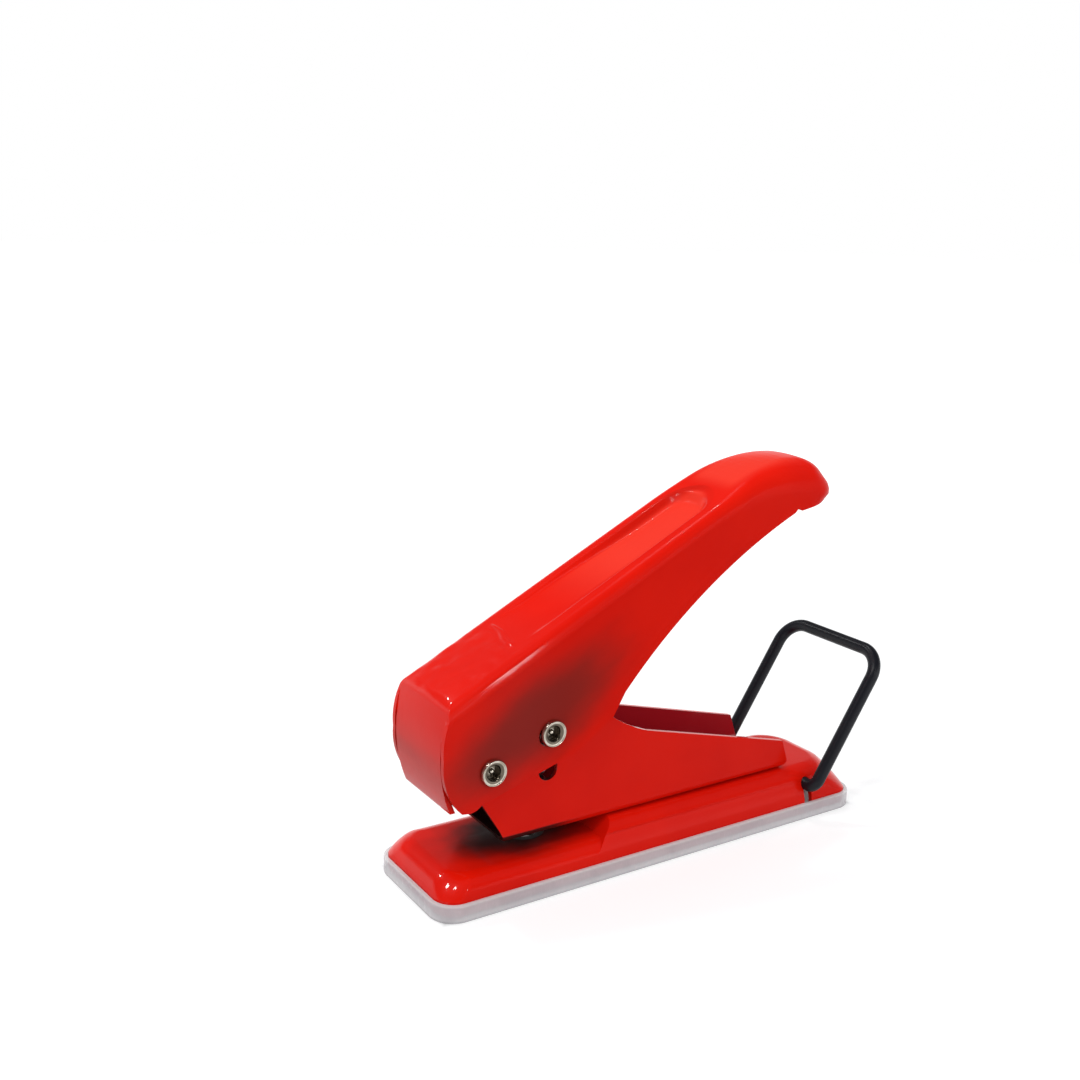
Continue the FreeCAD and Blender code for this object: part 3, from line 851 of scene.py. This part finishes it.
def wound_spring():
    """Round wire wound to an open helix whose end turns lie closer."""
    bm = bmesh.new()
    height = spring_head - spring_foot - spring_wire - 2 * spring_gap
    ring = bmesh.ops.create_circle(bm, cap_ends=False, radius=spring_wire / 2 * MM,
                                   segments=wire_sides)["verts"]
    upright = Matrix.Rotation(math.radians(90), 4, "X")
    start = Vector((driver[0] + spring_radius, 0, spring_foot + spring_wire / 2 + spring_gap)) * MM
    bmesh.ops.transform(bm, matrix=Matrix.Translation(start) @ upright, verts=ring)
    geometry = ring + bm.edges[:]
    quarters = round(4 * spring_turns)

    def level(share):
        """Height of the wire's centre at a share of its length."""
        full_turn = 2 * math.pi
        return height * (share - spring_end_share * math.sin(full_turn * share) / full_turn)

    for quarter in range(quarters):
        rise = level((quarter + 1) / quarters) - level(quarter / quarters)
        turned = bmesh.ops.spin(bm, geom=geometry, cent=(driver[0] * MM, 0, 0), axis=(0, 0, 1),
                                dvec=(0, 0, rise / steps_per_quarter * MM), angle=math.pi / 2,
                                steps=steps_per_quarter, use_merge=False, use_duplicate=False)
        geometry = turned["geom_last"]
    ends = [edge for edge in bm.edges if len(edge.link_faces) == 1]
    bmesh.ops.holes_fill(bm, edges=ends, sides=0)
    bmesh.ops.recalc_face_normals(bm, faces=bm.faces)
    piece = settle(bm, "wound_spring", "base", spring_steel, "return_spring",
                   keep_deg=50.0)
    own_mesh(piece)


press_lever()
draw_base()
dress("frame", "bent_frame", "base", frame_paint, edge=0.14)
dress("chip_tray", "moulded_tray", "tray", plastic, edge=0.10)
dress("pivot_rivet", "rolled_pivot", "base", pivot_nickel, edge=0.05)
dress("driver_rivet", "rolled_driver", "punch", driver_nickel, edge=0.05)
dress("deck_rivets", "deck_fasteners", "base", rivet_steel, edge=0.06)
dress("die_bush", "ground_die", "base", shaded_die_steel, edge=0.10)
dress("guide_bush", "turned_guide", "base", tool_steel, edge=0.12)
dress("punch_pin", "ground_punch", "punch", tool_steel, edge=0.04)
dress("spring_washer", "stamped_washer", "punch", washer_steel, edge=0.10)
dress("lock_bail", "bent_wire_lock", "bail", black_wire, edge=0.12, keep_deg=50.0)
wound_spring()


# Stage, light and camera

def seen_share(tree):
    """1 for rays from the camera, a mirror or clear plastic, 0 for those that light the object."""
    path = tree.nodes.new("ShaderNodeLightPath")
    seen = arithmetic(tree, "MAXIMUM", path.outputs["Is Camera Ray"], path.outputs["Is Glossy Ray"])
    return arithmetic(tree, "MAXIMUM", seen, path.outputs["Is Transmission Ray"])


def stage_floor():
    """White table whose lit part reads as plain white while the soft shadow stays."""
    bm = bmesh.new()
    bmesh.ops.create_grid(bm, x_segments=1, y_segments=1, size=6.0)
    mesh = bpy.data.meshes.new("floor")
    bm.to_mesh(mesh)
    bm.free()
    floor = bpy.data.objects.new("floor", mesh)
    scene.collection.objects.link(floor)
    material, tree, shader = new_material("pale_floor")
    set_sockets(shader, Base_Color=(0.50, 0.50, 0.50, 1), Roughness=0.9, Specular_IOR_Level=0.0,
                Emission_Color=(1, 1, 1, 1))
    point = object_point(tree)
    sides = parts_of(tree, point)
    lift = ramp(tree, length_of(tree, point), 120.0, 700.0, to_low=0.58, to_high=1.0)
    beside = arithmetic(tree, "MAXIMUM", ramp(tree, size_of(tree, sides["X"]), 49.5, 52.5),
                        ramp(tree, size_of(tree, sides["Y"]), 11.0, 14.0))
    white = product(tree, seen_share(tree), product(tree, lift, beside))
    tree.links.new(white, shader.inputs["Emission Strength"])
    mesh.materials.append(material)


def lamp(name, direction, width, length, watts):
    """Area lamp that shines on the object from a direction."""
    data = bpy.data.lights.new(name, "AREA")
    data.shape = "RECTANGLE"
    data.size = width
    data.size_y = length
    data.energy = watts
    light = bpy.data.objects.new(name, data)
    scene.collection.objects.link(light)
    way = Vector(direction).normalized()
    light.location = lamp_target + way * lamp_distance
    light.rotation_euler = way.to_track_quat("Z", "Y").to_euler()
    light.visible_camera = False


def world_light():
    """White low background; the room above it is darker, and lights the object softly."""
    world = bpy.data.worlds.new("studio")
    scene.world = world
    world.use_nodes = True
    tree = world.node_tree
    tree.nodes.clear()
    output = tree.nodes.new("ShaderNodeOutputWorld")
    room = tree.nodes.new("ShaderNodeBackground")
    set_sockets(room, Color=(0.94, 0.97, 1.0, 1), Strength=0.64)
    backdrop = tree.nodes.new("ShaderNodeBackground")
    set_sockets(backdrop, Color=(1, 1, 1, 1))
    height = parts_of(tree, tree.nodes.new("ShaderNodeTexCoord").outputs["Generated"])["Z"]
    shade = spread(tree, height, 0.20, 0.46, to_low=1.0, to_high=0.12)
    tree.links.new(shade, backdrop.inputs["Strength"])
    mix = tree.nodes.new("ShaderNodeMixShader")
    tree.links.new(seen_share(tree), mix.inputs[0])
    tree.links.new(room.outputs[0], mix.inputs[1])
    tree.links.new(backdrop.outputs[0], mix.inputs[2])
    tree.links.new(mix.outputs[0], output.inputs["Surface"])


def photo_camera():
    """Camera fitted to the photograph: turned and tilted round a target, then rolled a little."""
    turn = math.radians(-32.91)
    tilt = math.radians(13.86)
    roll = math.radians(1.49)
    target = Vector((-24.54, 0.0, 66.36)) * MM
    distance = 239.06 * MM
    focal_pixels = 1268.36
    photo_pixels = 1080
    sensor = 36.0
    back = Vector((math.sin(turn) * math.cos(tilt), -math.cos(turn) * math.cos(tilt), math.sin(tilt)))
    level = (-back).cross(Vector((0, 0, 1))).normalized()
    upright = level.cross(-back).normalized()
    right = level * math.cos(roll) + upright * math.sin(roll)
    up = upright * math.cos(roll) - level * math.sin(roll)
    data = bpy.data.cameras.new("camera")
    data.sensor_width = sensor
    data.lens = sensor * (focal_pixels / photo_pixels)
    data.clip_start = 0.01
    camera = bpy.data.objects.new("camera", data)
    scene.collection.objects.link(camera)
    place = Matrix((right, up, back)).transposed().to_4x4()
    place.translation = target + back * distance
    camera.matrix_world = place
    scene.camera = camera


stage_floor()
world_light()
lamp("side_box", (0.50, -0.83, 0.18), width=0.50, length=0.40, watts=0.85)
for index, direction in enumerate(ceiling_ways):
    lamp("ceiling_%d" % index, direction, width=0.08, length=0.08, watts=1.15)
for index, direction in enumerate(window_ways):
    lamp("window_%d" % index, direction, width=0.045, length=0.10, watts=0.34)
photo_camera()
scene.view_settings.view_transform = "Standard"
